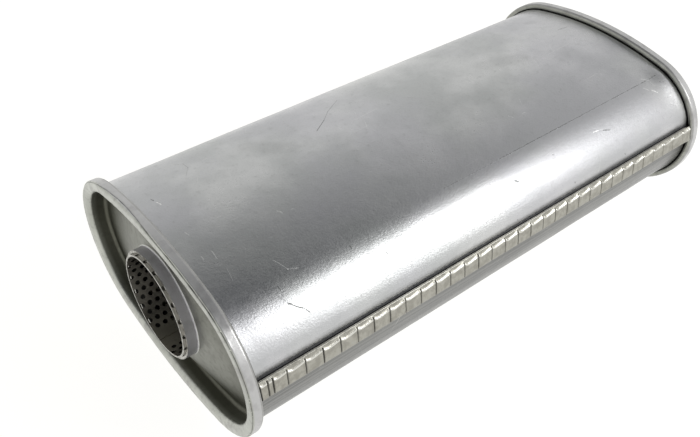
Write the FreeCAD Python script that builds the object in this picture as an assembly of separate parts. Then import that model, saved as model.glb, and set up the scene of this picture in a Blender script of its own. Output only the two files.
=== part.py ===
import FreeCAD, Part
import math
import os

# Straight-through oval muffler, in millimetres.
# A sheet is wrapped into an oval shell and closed by a pressed lock seam along one side. Two drawn end
# caps are double-seamed to the shell's ends. A perforated tube runs through both caps' necks, inside a
# steel wool sleeve and the fibre packing that fills the shell.
# X runs along the tube from the inlet to the outlet, Y is the wide way of the oval and Z is up.
# The origin is the middle of the tube.

Vector = FreeCAD.Vector
ALONG_TUBE = Vector(1, 0, 0)
ORIGIN = Vector(0, 0, 0)

# Shell: the oval is four arcs, two flat crowns and two round ends
body_width = 178.0
body_height = 100.5
crown_radius = 240.7
rim_to_rim = 361.0
shell_sheet = 1.0

# End caps and the double seam that holds them
cap_sheet = 1.5
rim_length = 7.5
hook_gap = 0.3
cap_wall_gap = 0.1
shell_pull_in = 0.05
recess_depth = 12.0
recess_bend = 3.25
lip_bend = 2.25
lip_edge_bend = 1.0
curl_bend = 1.0
roll_mark_width = 0.7
roll_mark_depth = 0.35

# Perforated tube and the necks that hold it
tube_diameter = 63.5
tube_wall = 1.2
tube_proud = 2.8
neck_proud = 0.7
neck_depth = 5.5
neck_gap = 0.15
neck_bend = 1.75
hole_diameter = 3.0
holes_around = 20
first_hole_angle = 354.5
first_ring = 1.6
ring_pitch = 2.45
hole_rings = 3
plain_strip_width = 18.0
plain_strip_angle = 274.0
tube_joint_width = 0.5
tube_joint_depth = 0.6

# Lock seam: angles are measured from +Y towards +Z
seam_angle = 163.5
seam_height = 8.5
seam_gap = 0.08
seam_end_gap = 0.3
jog_run = 2.6
jog_bend = 0.7
notch_pitch = 11.35
first_notch = 19.3
faulty_notches = (4.9, 7.9)
notch_width = 0.9
notch_depth = 0.4
notch_reach = 0.72
notch_slant = 0.9
scallop_sag = 0.85
scallop_start = 0.25

# Wool and packing inside
wool_thickness = 6.0
packing_gap = 0.3

# Sizes that follow from those above
half_width = body_width / 2
half_height = body_height / 2
corner_square = half_width**2 + half_height**2
end_arc_radius = (2 * crown_radius * half_height - corner_square) / (2 * (crown_radius - half_width))
end_centre = half_width - end_arc_radius
crown_centre = crown_radius - half_height
crown_half_angle = math.degrees(math.atan2(end_centre, crown_centre))
rim_front = rim_to_rim / 2 + rim_length
rim_height = 3 * hook_gap + 2 * cap_sheet + shell_sheet
tube_radius = tube_diameter / 2
neck_middle = tube_radius + neck_gap + cap_sheet / 2
neck_foot = neck_middle + neck_bend + cap_sheet
panel_back = recess_depth + cap_sheet
HALF_ROOT = math.sqrt(0.5)

# Arcs of the oval, anticlockwise: centre Y and Z, radius, first and last angle
OVAL_ARCS = (
    (end_centre, 0.0, end_arc_radius, crown_half_angle - 90, 90 - crown_half_angle),
    (0.0, -crown_centre, crown_radius, 90 - crown_half_angle, 90 + crown_half_angle),
    (-end_centre, 0.0, end_arc_radius, 90 + crown_half_angle, 270 - crown_half_angle),
    (0.0, crown_centre, crown_radius, 270 - crown_half_angle, 270 + crown_half_angle),
)


def polar(centre_y, centre_z, radius, angle, x=0.0):
    """Point at an angle and radius round a centre, in the plane across the tube at x."""
    turn = math.radians(angle)
    return Vector(x, centre_y + radius * math.cos(turn), centre_z + radius * math.sin(turn))


def edge_through(start, middle, end):
    """Arc through three points, or a line where they lie in line."""
    if (middle - start).cross(end - start).Length < 1e-6 * (end - start).Length**2:
        return Part.LineSegment(start, end).toShape()
    return Part.Arc(start, middle, end).toShape()


def closed_face(edges):
    """Flat face inside a closed run of edges."""
    return Part.Face(Part.Wire(Part.__sortEdges__(edges)))


def side_of_sheet(path, half_sheet, side, place):
    """Edges of one side of a folded sheet: side is 1 on the left of its middle line and -1 on the right."""
    points = [Vector(u, v) for u, v, bend in path]
    ways = [(end - start).normalize() for start, end in zip(points, points[1:])]
    lefts = [Vector(-way.y, way.x) for way in ways]
    last = points[0] + lefts[0] * (side * half_sheet)
    edges = []
    for index in range(1, len(points)):
        if index == len(points) - 1:
            stop = points[index] + lefts[-1] * (side * half_sheet)
            edges += span(last, stop, place)
            last = stop
            continue
        before, after = ways[index - 1], ways[index]
        mitre = (lefts[index - 1] + lefts[index]) * (1 / (1 + before * after))
        corner = points[index] + mitre * (side * half_sheet)
        turn = math.atan2(before.cross(after).z, before * after)
        radius = path[index][2] - side * math.copysign(half_sheet, turn)
        if abs(turn) < 1e-9 or radius < 1e-6:
            edges += span(last, corner, place)
            last = corner
            continue
        reach = radius * math.tan(abs(turn) / 2)
        start = corner - before * reach
        stop = corner + after * reach
        inward = (after - before).normalize()
        middle = corner + inward * (radius / math.cos(turn / 2) - radius)
        edges += span(last, start, place)
        edges.append(edge_through(*[place(point.x, point.y) for point in (start, middle, stop)]))
        last = stop
    return edges


def span(start, stop, place):
    """Edge along a straight run of a folded sheet, bent where its placing is bent."""
    if (stop - start).Length < 1e-6:
        return []
    middle = (start + stop) * 0.5
    return [edge_through(*[place(point.x, point.y) for point in (start, middle, stop)])]


def folded_sheet(path, sheet, place):
    """Section of a sheet folded along a middle line of (u, v, bend radius), placed in space by place."""
    left = side_of_sheet(path, sheet / 2, 1, place)
    right = side_of_sheet(path, sheet / 2, -1, place)
    ends = [
        Part.LineSegment(left[0].Vertexes[0].Point, right[0].Vertexes[0].Point).toShape(),
        Part.LineSegment(left[-1].Vertexes[-1].Point, right[-1].Vertexes[-1].Point).toShape(),
    ]
    return closed_face(left + right + ends)


def ring_of_arcs(arcs, offset, place):
    """Closed wire of arcs across the tube at a place along it, each arc's radius made larger by offset."""
    edges = []
    for centre_y, centre_z, radius, first, last in arcs:
        angles = (first, (first + last) / 2, last)
        edges.append(edge_through(*[polar(centre_y, centre_z, radius + offset, angle, place) for angle in angles]))
    return Part.Wire(Part.__sortEdges__(edges))


def oval_disc(front, back, offset):
    """Solid oval between two places along the tube, offset from the shell's outside."""
    return Part.Face(ring_of_arcs(OVAL_ARCS, offset, front)).extrude(ALONG_TUBE * (back - front))


def round_oval(section):
    """Solid made by taking a section round the oval; section is given a placing and returns a face."""
    quarters = []
    for centre_y, centre_z, radius, first, last in OVAL_ARCS:
        def place(x, offset, spot=(centre_y, centre_z, radius, first)):
            return polar(spot[0], spot[1], spot[2] + offset, spot[3], x - rim_front)
        axis = Vector(0, centre_y, centre_z)
        quarters.append(section(place).revolve(axis, ALONG_TUBE, last - first))
    return quarters[0].fuse(quarters[1:]).removeSplitter()


def tube_section(x, radius):
    """Placing of a section to be turned about the tube's axis."""
    return Vector(x - rim_front, radius, 0)


def only_solid(shape):
    """The one solid of a shape, which has no other."""
    assert len(shape.Solids) == 1, "expected one solid, found %d" % len(shape.Solids)
    return shape.Solids[0]


def cap_rim(place):
    """Section of an end cap from its panel, up the recess wall, over the lip and into the double seam."""
    wall = -(shell_sheet + cap_wall_gap + cap_sheet / 2)
    band = rim_height - cap_sheet / 2
    hook = hook_gap + cap_sheet / 2
    fold_bend = (band - hook) / 2
    fold = rim_length - cap_sheet / 2
    front = cap_sheet / 2
    hook_tip = cap_sheet + hook_gap + shell_sheet + hook_gap
    path = [
        (recess_depth + cap_sheet / 2, wall - recess_bend - cap_sheet, 0),
        (recess_depth + cap_sheet / 2, wall, recess_bend),
        (front, wall, lip_bend),
        (front, band, lip_edge_bend),
        (fold, band, fold_bend),
        (fold, hook, fold_bend),
        (hook_tip, hook, 0),
    ]
    return folded_sheet(path, cap_sheet, place)


def roll_mark(place):
    """Groove that the seaming roll leaves round the bend where the lip meets the outer band."""
    bend = lip_edge_bend + cap_sheet / 2
    points = []
    for along, out in ((-roll_mark_width / 2, 1), (roll_mark_width / 2, 1), (0, -1)):
        reach = bend + out * roll_mark_depth
        points.append(place(bend + (along - reach) * HALF_ROOT, rim_height - bend + (along + reach) * HALF_ROOT))
    return Part.Face(Part.makePolygon(points + points[:1]))


def cap_panel():
    """Panel of an end cap, raised from the foot of the recess wall up to the foot of the neck."""
    wall_inside = -(shell_sheet + cap_wall_gap + cap_sheet / 2) - recess_bend - cap_sheet
    neck_arcs = [(0.0, 0.0, neck_foot, first, last) for _, _, _, first, last in OVAL_ARCS]
    sides = []
    for back in (0, cap_sheet):
        foot = ring_of_arcs(OVAL_ARCS, wall_inside, recess_depth + back - rim_front)
        top = ring_of_arcs(neck_arcs, 0, neck_depth + back - rim_front)
        sides.append(Part.makeLoft([foot, top], True, True))
    opening = Part.makeCylinder(neck_foot, rim_front, Vector(-rim_front, 0, 0), ALONG_TUBE)
    slab = oval_disc(recess_depth - rim_front, panel_back - rim_front, wall_inside)
    return slab.fuse(sides[0]).cut(sides[1]).cut(opening)


def end_cap():
    """Drawn end cap of the inlet end, with its neck."""
    rim = round_oval(cap_rim).cut(round_oval(roll_mark))
    neck_path = [
        (neck_depth + cap_sheet / 2, neck_foot, 0),
        (neck_depth + cap_sheet / 2, neck_middle, neck_bend),
        (-neck_proud, neck_middle, 0),
    ]
    neck = folded_sheet(neck_path, cap_sheet, tube_section).revolve(ORIGIN, ALONG_TUBE, 360)
    return only_solid(rim.fuse([cap_panel(), neck]).removeSplitter())


def shell_end(place):
    """Section of the shell's end, from its wall into the hook that the end cap's rim pulls in and holds."""
    wall = -shell_sheet / 2 - shell_pull_in
    curl = cap_sheet + hook_gap + shell_sheet / 2
    hook = 2 * hook_gap + cap_sheet + shell_sheet / 2
    hook_tip = rim_length - cap_sheet - hook_gap
    path = [
        (rim_length + seam_end_gap, wall, 0),
        (curl, wall, curl_bend),
        (curl, hook, curl_bend),
        (hook_tip, hook, 0),
    ]
    return folded_sheet(path, shell_sheet, place)


def on_section(run, offset):
    """Point of the shell's section, run mm round its outside from the seam's top edge and offset mm out."""
    arcs = [
        (arc[0], arc[1], arc[2], max(arc[3], seam_angle), arc[4]) for arc in OVAL_ARCS if arc[4] > seam_angle
    ]
    arcs += [
        (arc[0], arc[1], arc[2], arc[3] + 360, min(arc[4], seam_angle) + 360)
        for arc in OVAL_ARCS if arc[3] < seam_angle
    ]
    for centre_y, centre_z, radius, first, last in arcs:
        length = radius * math.radians(last - first)
        if run <= length or last == arcs[-1][4]:
            return polar(centre_y, centre_z, radius + offset, first + math.degrees(run / radius))
        run -= length


def oval_joints():
    """Runs round the section at which one arc of the oval ends and the next begins."""
    runs = []
    run = end_arc_radius * math.radians(OVAL_ARCS[2][4] - seam_angle)
    for arc in (OVAL_ARCS[3], OVAL_ARCS[0], OVAL_ARCS[1]):
        runs.append(run)
        run += arc[2] * math.radians(arc[4] - arc[3])
    runs.append(run)
    around = run + end_arc_radius * math.radians(seam_angle - OVAL_ARCS[2][3])
    return runs, around


def shell_section():
    """Section of the wrapped sheet: a hook on each edge, one inside the other, makes the lock seam."""
    joints, around = oval_joints()
    layer = shell_sheet + seam_gap
    wall = -shell_sheet / 2
    fold_bend = layer
    top_fold = shell_sheet / 2
    bottom_fold = seam_height - shell_sheet / 2
    upper_tip = top_fold + fold_bend + seam_gap
    lower_tip = bottom_fold - fold_bend - seam_gap
    path = [
        (around + upper_tip, wall + 2 * layer, 0),
        (around + bottom_fold, wall + 2 * layer, fold_bend),
        (around + bottom_fold, wall, fold_bend),
        (around, wall, 0),
    ]
    path += [(joint, wall, 0) for joint in reversed(joints)]
    path += [
        (seam_height + jog_run, wall, jog_bend),
        (seam_height, wall + 3 * layer, jog_bend),
        (top_fold, wall + 3 * layer, fold_bend),
        (top_fold, wall + layer, fold_bend),
        (lower_tip, wall + layer, 0),
    ]

    def place(run, offset):
        return on_section(run if run <= around else run - around, offset)

    return folded_sheet(path, shell_sheet, place)


def notch_places():
    """Places of the seam's notches, measured from the inlet rim."""
    seam_length = rim_to_rim - 2 * seam_end_gap
    count = int((seam_length - first_notch - notch_pitch / 2) / notch_pitch) + 1
    return list(faulty_notches) + [first_notch + notch_pitch * number for number in range(count)]


def seam_frame(x, run, out):
    """Point by the seam: x from the inlet rim, run down from the seam's top edge, out from the shell."""
    down = math.radians(seam_angle + math.degrees(seam_height / 2 / end_arc_radius))
    outward = Vector(0, math.cos(down), math.sin(down))
    downward = Vector(0, -math.sin(down), math.cos(down))
    middle = polar(-end_centre, 0, end_arc_radius, math.degrees(down), x - rim_to_rim / 2)
    return middle + outward * out + downward * (run - seam_height / 2)


def seam_scallops():
    """Tool that presses the seam's outer top edge down between the notches."""
    notches = [seam_end_gap] + notch_places() + [rim_to_rim - seam_end_gap]
    low = 2 * (shell_sheet + seam_gap)
    high = 2 * low
    clear = -seam_height
    edges = []
    for start, end in zip(notches, notches[1:]):
        sag = min(scallop_sag, (end - start) / 8)
        points = [
            seam_frame(start, scallop_start, low),
            seam_frame((start + end) / 2, scallop_start + sag, low),
            seam_frame(end, scallop_start, low),
        ]
        edges.append(edge_through(*points))
    corners = [
        seam_frame(notches[-1], scallop_start, low),
        seam_frame(notches[-1], clear, low),
        seam_frame(notches[0], clear, low),
        seam_frame(notches[0], scallop_start, low),
    ]
    edges += [Part.LineSegment(start, end).toShape() for start, end in zip(corners, corners[1:])]
    outward = seam_frame(0, 0, 1) - seam_frame(0, 0, 0)
    return closed_face(edges).extrude(outward * (high - low))


def seam_notches():
    """Tools that press a slanting notch across the seam at each scallop's end."""
    face = 3 * (shell_sheet + seam_gap)
    reach = notch_reach * seam_height
    slant = seam_frame(notch_slant, reach, 0) - seam_frame(0, 0, 0)
    tools = []
    for notch in notch_places():
        corners = [
            seam_frame(notch - notch_width / 2, 0, face + notch_depth),
            seam_frame(notch + notch_width / 2, 0, face + notch_depth),
            seam_frame(notch, 0, face - notch_depth),
        ]
        tools.append(Part.Face(Part.makePolygon(corners + corners[:1])).extrude(slant))
    return Part.makeCompound(tools)


def outer_shell():
    """Shell: the wrapped sheet between the rims, with a hooked end in each rim."""
    length = rim_to_rim - 2 * seam_end_gap
    middle = shell_section().extrude(ALONG_TUBE * length)
    middle.translate(Vector(-length / 2, 0, 0))
    middle = middle.cut(seam_scallops()).cut(seam_notches())
    inlet_end = round_oval(shell_end)
    return only_solid(middle.fuse([inlet_end, inlet_end.mirror(ORIGIN, ALONG_TUBE)]).removeSplitter())


def hole_places():
    """Angles and places along the tube of the punched holes by its inlet mouth."""
    step = 360.0 / holes_around
    half_strip = math.degrees((plain_strip_width - hole_diameter) / 2 / tube_radius)
    mouth = -(rim_front + tube_proud)
    for ring in range(hole_rings):
        for number in range(holes_around):
            angle = first_hole_angle + (number + ring % 2 / 2) * step
            from_strip = (angle - plain_strip_angle + 180) % 360 - 180
            if abs(from_strip) > half_strip:
                yield angle, mouth + first_ring + ring * ring_pitch


def perforated_tube():
    """Tube rolled from punched sheet, with a plain strip and a welded joint along its bottom."""
    length = 2 * (rim_front + tube_proud)
    start = Vector(-length / 2, 0, 0)
    tube = Part.makeCylinder(tube_radius, length, start, ALONG_TUBE)
    tube = tube.cut(Part.makeCylinder(tube_radius - tube_wall, length, start, ALONG_TUBE))
    punches = []
    for angle, place in hole_places():
        outward = polar(0, 0, 1, angle)
        foot = Vector(place, 0, 0) + outward * (tube_radius / 2)
        punches.append(Part.makeCylinder(hole_diameter / 2, tube_radius, foot, outward))
    punched = Part.makeCompound(punches)
    tube = tube.cut(punched).cut(punched.mirror(ORIGIN, ALONG_TUBE))
    joint = Part.makeBox(length, tube_joint_width, tube_joint_depth)
    joint.translate(Vector(-length / 2, -tube_joint_width / 2, tube_radius - tube_wall - tube_joint_depth / 2))
    joint.rotate(ORIGIN, ALONG_TUBE, plain_strip_angle - 90)
    return only_solid(tube.cut(joint))


def wool_sleeve():
    """Steel wool wound round the tube between the two caps."""
    inside = tube_radius + packing_gap
    start = panel_back + packing_gap - rim_front
    sleeve = Part.makeCylinder(inside + wool_thickness, -2 * start, Vector(start, 0, 0), ALONG_TUBE)
    return only_solid(sleeve.cut(Part.makeCylinder(inside, -2 * start, Vector(start, 0, 0), ALONG_TUBE)))


def packing():
    """Fibre packing that fills the shell round the wool."""
    start = panel_back + packing_gap - rim_front
    hole = tube_radius + wool_thickness + 2 * packing_gap
    filling = oval_disc(start, -start, -(shell_sheet + packing_gap))
    return only_solid(filling.cut(Part.makeCylinder(hole, -2 * start, Vector(start, 0, 0), ALONG_TUBE)))


def main():
    inlet_cap = end_cap()
    nodes = {
        "outer_shell": outer_shell(),
        "inlet_end_cap": inlet_cap,
        "outlet_end_cap": only_solid(inlet_cap.mirror(ORIGIN, ALONG_TUBE)),
        "perforated_tube": perforated_tube(),
        "wool_sleeve": wool_sleeve(),
        "packing": packing(),
    }
    os.makedirs("parts", exist_ok=True)
    for name, solid in nodes.items():
        assert solid.isValid(), name + " is not a valid solid"
        solid.exportStep("parts/%s.step" % name)
        print("%s: %.1f cm3, %d faces" % (name, solid.Volume / 1000, len(solid.Faces)))


main()
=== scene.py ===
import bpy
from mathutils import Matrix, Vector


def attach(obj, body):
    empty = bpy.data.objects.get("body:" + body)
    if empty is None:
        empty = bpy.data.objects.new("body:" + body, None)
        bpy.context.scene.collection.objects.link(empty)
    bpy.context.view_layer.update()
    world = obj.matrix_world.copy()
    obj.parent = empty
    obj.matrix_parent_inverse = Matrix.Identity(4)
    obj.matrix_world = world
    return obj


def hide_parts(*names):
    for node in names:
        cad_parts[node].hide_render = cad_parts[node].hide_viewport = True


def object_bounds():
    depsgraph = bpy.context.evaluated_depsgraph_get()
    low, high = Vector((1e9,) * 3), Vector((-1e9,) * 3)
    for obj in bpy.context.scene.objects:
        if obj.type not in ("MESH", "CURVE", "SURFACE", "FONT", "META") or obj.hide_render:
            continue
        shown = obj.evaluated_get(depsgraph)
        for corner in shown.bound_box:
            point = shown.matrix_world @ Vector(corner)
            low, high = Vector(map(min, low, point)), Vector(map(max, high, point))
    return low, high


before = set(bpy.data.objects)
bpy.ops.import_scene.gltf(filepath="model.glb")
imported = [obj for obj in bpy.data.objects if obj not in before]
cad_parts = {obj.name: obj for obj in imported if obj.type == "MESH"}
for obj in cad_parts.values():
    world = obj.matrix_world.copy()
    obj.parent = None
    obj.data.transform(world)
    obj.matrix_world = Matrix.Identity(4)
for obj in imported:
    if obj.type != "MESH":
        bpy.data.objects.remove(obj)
cad_box = [list(corner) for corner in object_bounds()]

import math

import bmesh
import bpy
import numpy as np
from mathutils import Matrix, Vector, noise

# Looks of a straight-through oval muffler. Lengths are millimetres until a mesh is made.
# X runs along the tube from the inlet to the outlet, Y is the wide way of the oval and Z is up.

MM = 0.001

# Shell and the double seams at its ends
BODY_WIDTH = 178.0
BODY_HEIGHT = 100.5
CROWN_RADIUS = 240.7
RIM_TO_RIM = 361.0
SHELL_SHEET = 1.0
CAP_SHEET = 1.5
RIM_LENGTH = 7.5
HOOK_GAP = 0.3
CAP_WALL_GAP = 0.1
RECESS_DEPTH = 12.0
RECESS_BEND = 3.25
LIP_BEND = 2.25
LIP_EDGE_BEND = 1.0
ROLL_MARK_WIDTH = 0.8
ROLL_MARK_DEPTH = 0.45

# Perforated tube and necks
TUBE_RADIUS = 31.75
TUBE_WALL = 1.2
TUBE_PROUD = 2.8
NECK_PROUD = 0.7
NECK_DEPTH = 5.5
NECK_GAP = 0.15
NECK_BEND = 1.75
HOLE_RADIUS = 1.5
HOLES_AROUND = 20
FIRST_HOLE_ANGLE = 354.5
FIRST_RING = 1.6
RING_PITCH = 2.45
PLAIN_STRIP_WIDTH = 18.0
PLAIN_STRIP_ANGLE = 274.0
TUBE_JOINT_WIDTH = 0.5
TUBE_JOINT_DEPTH = 0.5

# Lock seam. Runs round the shell start from the seam's line, at SEAM_ANGLE, and go down over the seam.
# Its top edge lies at the run SEAM_TOP, a little above that line.
SEAM_ANGLE = 163.5
SEAM_TOP = -1.8
SEAM_END_GAP = 0.3
NOTCH_PITCH = 11.2
FIRST_NOTCH = 16.3
FAULTY_NOTCHES = (4.9, 7.9)
NOTCH_WIDTH = 1.5
NOTCH_DEPTH = 0.7
NOTCH_REACH = 8.9
NOTCH_SLANT = -0.3
SCALLOP_START = 0.25
SCALLOP_SAG = 1.42
FACE_HEIGHT = 3.2

# Rows of the seam's skin as run, share of the scallops' sag, height above the wall, and tone: painted shade
# where it is above 0 and a painted highlight below. The first rows lie in the gap under the outer sheet's
# top edge.
SEAM_EDGE_ROWS = (
    (-0.30, 0.0, 0.05, 1.0), (-1.10, 0.0, 0.25, 1.0), (-1.62, 0.0, 0.80, 1.0), (-1.82, 0.0, 1.60, 0.0),
    (-1.76, 0.0, 2.15, 0.0), (-1.62, 0.0, 2.24, 0.0), (-1.54, 0.0, 2.26, 0.55), (-1.48, 0.15, 2.32, 0.0),
    (-1.40, 0.5, 2.40, 0.0), (-1.28, 0.85, 2.52, 0.0), (-0.98, 1.0, 2.74, 0.0), (-0.60, 1.0, 3.00, -0.5),
    (-0.22, 1.0, 3.20, -0.9), (0.12, 1.0, 3.30, -0.6), (0.46, 0.97, 3.26, 0.0),
)
SEAM_JOG_ROWS = (
    (8.35, 0.0, 3.18, 0.0), (8.62, 0.0, 2.98, 0.0), (8.95, 0.0, 2.60, 0.0), (9.6, 0.0, 1.75, 0.0),
    (10.3, 0.0, 0.86, 0.0), (10.75, 0.0, 0.40, 0.0), (11.15, 0.0, 0.15, 0.0), (11.6, 0.0, 0.03, 0.0),
    (12.2, 0.0, 0.0, 0.0),
)
# First row on the outer sheet, which the notches and the far corner bend
OUTER_SHEET_ROW = 10
# Distances above the seam's top edge of the wall's last rows, close together where the wall dips to it
DIP_ROWS = (9.0, 7.4, 6.2, 5.5, 5.1, 4.8, 4.5, 4.0, 3.4, 2.8, 2.2, 1.6, 1.1, 0.7, 0.3, -0.2, -0.7, -1.3)

# Stuffing
WOOL_THICKNESS = 6.0
PACKING_GAP = 0.3
PACKING_INSET = 1.5

# Marks on the shell: along from the inlet rim, mm above the seam's line, the same for the other end, half
# width, and how much lighter (or darker, below 0) than the sheet it is
SHELL_MARKS = (
    (150.0, 43.6, 196.0, 43.6, 0.22, -0.55), (196.0, 43.6, 262.0, 43.9, 0.28, -0.85),
    (262.0, 43.9, 353.0, 44.3, 0.24, -0.8), (38.1, 53.1, 41.5, 44.6, 0.30, 0.8),
    (41.5, 44.6, 46.7, 42.3, 0.30, 0.7), (10.8, 127.3, 12.2, 121.8, 0.45, 0.9),
    (10.3, 129.8, 11.2, 125.7, 0.40, -0.8), (15.4, 74.7, 14.9, 68.8, 0.35, 0.7),
    (9.2, 74.5, 9.0, 72.0, 0.6, 0.6), (15.8, 61.2, 14.3, 53.4, 0.25, 0.5),
    (11.0, 94.0, 11.6, 90.9, 0.45, 0.5), (38.0, 154.1, 41.9, 151.5, 0.35, -0.35),
    (41.9, 151.5, 41.6, 144.8, 0.35, -0.4), (41.6, 144.8, 36.3, 137.5, 0.35, -0.3),
    (154.3, 149.7, 140.6, 141.3, 0.30, -0.5), (140.6, 141.3, 131.5, 133.4, 0.35, -0.45),
    (131.5, 133.4, 120.5, 126.0, 0.35, -0.75), (28.0, 36.0, 31.5, 29.2, 0.30, -0.4),
    (31.5, 29.2, 35.2, 25.0, 0.38, -0.85), (35.2, 25.0, 37.9, 23.1, 0.42, -0.9),
    (37.9, 23.1, 39.9, 19.9, 0.35, -0.8), (31.4, 38.7, 31.5, 36.2, 0.35, -0.6),
    (57.5, 26.4, 60.8, 26.5, 0.8, -0.35), (94.8, 27.8, 95.3, 26.3, 0.8, -0.7),
    (78.2, 39.8, 78.2, 37.9, 0.5, -0.6), (59.0, 79.8, 60.8, 76.7, 0.35, 0.7),
    (65.7, 76.2, 67.9, 76.5, 0.35, 0.5), (195.9, 27.5, 197.5, 26.1, 1.0, -0.75),
    (271.4, 30.4, 275.9, 29.7, 0.45, 0.7), (279.9, 28.4, 285.7, 26.5, 0.5, -0.7),
    (188.0, 5.6, 188.4, 5.0, 0.5, -0.7), (241.2, 8.0, 241.5, 7.4, 0.6, -0.6),
    (291.9, 7.4, 292.3, 6.8, 0.6, -0.6), (227.8, 67.9, 229.6, 65.2, 0.35, 0.8),
    (237.9, 64.7, 240.4, 64.8, 0.30, 0.6), (340.1, 47.2, 344.0, 43.8, 0.45, 0.8),
    (334.7, 40.7, 337.6, 37.1, 0.40, 0.7), (339.6, 36.3, 343.3, 33.1, 0.45, 0.8),
    (343.8, 41.7, 345.3, 37.9, 0.35, 0.6), (339.3, 122.1, 348.2, 121.0, 0.4, -0.5),
    (78.0, 140.0, 96.0, 122.0, 11.0, -0.22), (257.0, 119.0, 286.0, 110.0, 12.0, -0.22),
    (334.0, 147.0, 338.0, 145.0, 6.0, -0.2), (120.0, 92.0, 150.0, 88.0, 10.0, -0.12),
    (308.0, 92.0, 316.0, 96.0, 7.0, -0.14),
)

# Dents of the outlet cap's rim: mm above the seam's line, mm past the lip's edge, half length and depth
FAR_RIM_DENTS = ((46.0, 7.3, 1.3, 0.45), (60.0, 7.6, 2.0, 0.2))

# How far the roll's groove drifts along the inlet cap's rim, on its upper left
NEAR_GROOVE_DRIFT = 2.0

# Points round a cap, and the place along the tube at which its rim's noise is read
CAP_STATIONS = 420
CAP_NOISE_PLACE = 7.0

# Depth from each mouth to which the tube's holes have twelve sides, and not six, where they can be seen
ROUND_HOLE_DEPTH = 62.0

# Camera, read from the photograph's outlines
CAMERA_AZIMUTH = -39.747
CAMERA_ELEVATION = 41.398
CAMERA_ROLL = 1.629
CAMERA_AIM = (-58.36, -8.04, 0.0)
CAMERA_DISTANCE = 501.46
CAMERA_LENS = 41.14

# How much of the floor's look is its own glow
FLOOR_GLOW = 0.8

# Sizes that follow from those above
HALF_WIDTH = BODY_WIDTH / 2
HALF_HEIGHT = BODY_HEIGHT / 2
END_RADIUS = (2 * CROWN_RADIUS * HALF_HEIGHT - HALF_WIDTH**2 - HALF_HEIGHT**2) / (
    2 * (CROWN_RADIUS - HALF_WIDTH)
)
END_CENTRE = HALF_WIDTH - END_RADIUS
CROWN_CENTRE = CROWN_RADIUS - HALF_HEIGHT
CROWN_HALF_ANGLE = math.degrees(math.atan2(END_CENTRE, CROWN_CENTRE))
RIM_FRONT = RIM_TO_RIM / 2 + RIM_LENGTH
RIM_HEIGHT = 3 * HOOK_GAP + 2 * CAP_SHEET + SHELL_SHEET
MOUTH = RIM_FRONT + TUBE_PROUD
INNER_RADIUS = TUBE_RADIUS - TUBE_WALL
HOLE_STEP = 2 * math.pi / HOLES_AROUND
STUFFING_HALF = RIM_FRONT - RECESS_DEPTH - CAP_SHEET - PACKING_GAP
NECK_MIDDLE = TUBE_RADIUS + NECK_GAP + CAP_SHEET / 2


def oval_arcs():
    """Arcs round the oval from the seam's line: start of run, centre Y and Z, radius, first angle."""
    end, crown = END_RADIUS, CROWN_RADIUS
    arcs = []
    run = 0.0
    for centre_y, centre_z, radius, first, last in (
        (-END_CENTRE, 0.0, end, SEAM_ANGLE, 270 - CROWN_HALF_ANGLE),
        (0.0, CROWN_CENTRE, crown, 270 - CROWN_HALF_ANGLE, 270 + CROWN_HALF_ANGLE),
        (END_CENTRE, 0.0, end, 270 + CROWN_HALF_ANGLE, 450 - CROWN_HALF_ANGLE),
        (0.0, -CROWN_CENTRE, crown, 450 - CROWN_HALF_ANGLE, 450 + CROWN_HALF_ANGLE),
        (-END_CENTRE, 0.0, end, 450 + CROWN_HALF_ANGLE, 360 + SEAM_ANGLE),
    ):
        arcs.append((run, centre_y, centre_z, radius, math.radians(first)))
        run += radius * math.radians(last - first)
    return arcs, run


ARCS, AROUND = oval_arcs()


def on_oval(run, offset):
    """Y and Z of points run mm round the shell from the seam's line and offset mm out of it."""
    run = np.asarray(run, float) % AROUND
    y = np.zeros(np.broadcast(run, offset).shape)
    z = y.copy()
    for start, centre_y, centre_z, radius, first in ARCS:
        angle = first + (run - start) / radius
        y = np.where(run >= start, centre_y + (radius + offset) * np.cos(angle), y)
        z = np.where(run >= start, centre_z + (radius + offset) * np.sin(angle), z)
    return y, z


def oval_turns(run):
    """Angle of the oval's outward normal at runs round it."""
    turns = np.zeros(len(run))
    for start, _, _, radius, first in ARCS:
        turns = np.where(run >= start, first + (run - start) / radius, turns)
    return turns


def rough(points, size, seed):
    """Smooth noise from -1 to 1 at points in mm, with lumps about size mm across."""
    shift = Vector((17.3, 5.1, 9.7)) * seed
    return np.array([noise.noise(Vector(point[:3]) / size + shift) for point in points])


def ease(value, low, high):
    """0 below low, 1 above high and a smooth rise between them."""
    part = np.clip((np.asarray(value, float) - low) / (high - low), 0, 1)
    return part * part * (3 - 2 * part)


def grid_faces(rows, columns):
    """Faces of a grid that closes both ways, as rows round a section and columns round a loop."""
    row, column = np.meshgrid(np.arange(rows), np.arange(columns), indexing="ij")
    next_row = (row + 1) % rows
    next_column = (column + 1) % columns
    faces = [row * columns + column, next_row * columns + column,
             next_row * columns + next_column, row * columns + next_column]
    return np.stack(faces, -1).reshape(-1, 4)


def add_piece(name, points, faces, materials, sharp_angle=35.0, attributes=None, picks=None):
    """Object made of points in mm. picks gives each face's material and attributes its point values."""
    mesh = bpy.data.meshes.new(name)
    mesh.from_pydata((np.asarray(points) * MM).tolist(), [], np.asarray(faces).tolist())
    for material in materials:
        mesh.materials.append(material)
    if picks is not None:
        mesh.polygons.foreach_set("material_index", np.asarray(picks, np.int32))
    for attribute, values in (attributes or {}).items():
        layer = mesh.attributes.new(attribute, "FLOAT", "POINT")
        layer.data.foreach_set("value", np.asarray(values, np.float32).ravel())
    outside_first(mesh)
    piece = bpy.data.objects.new(name, mesh)
    bpy.context.collection.objects.link(piece)
    smooth(mesh, sharp_angle)
    return piece


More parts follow.
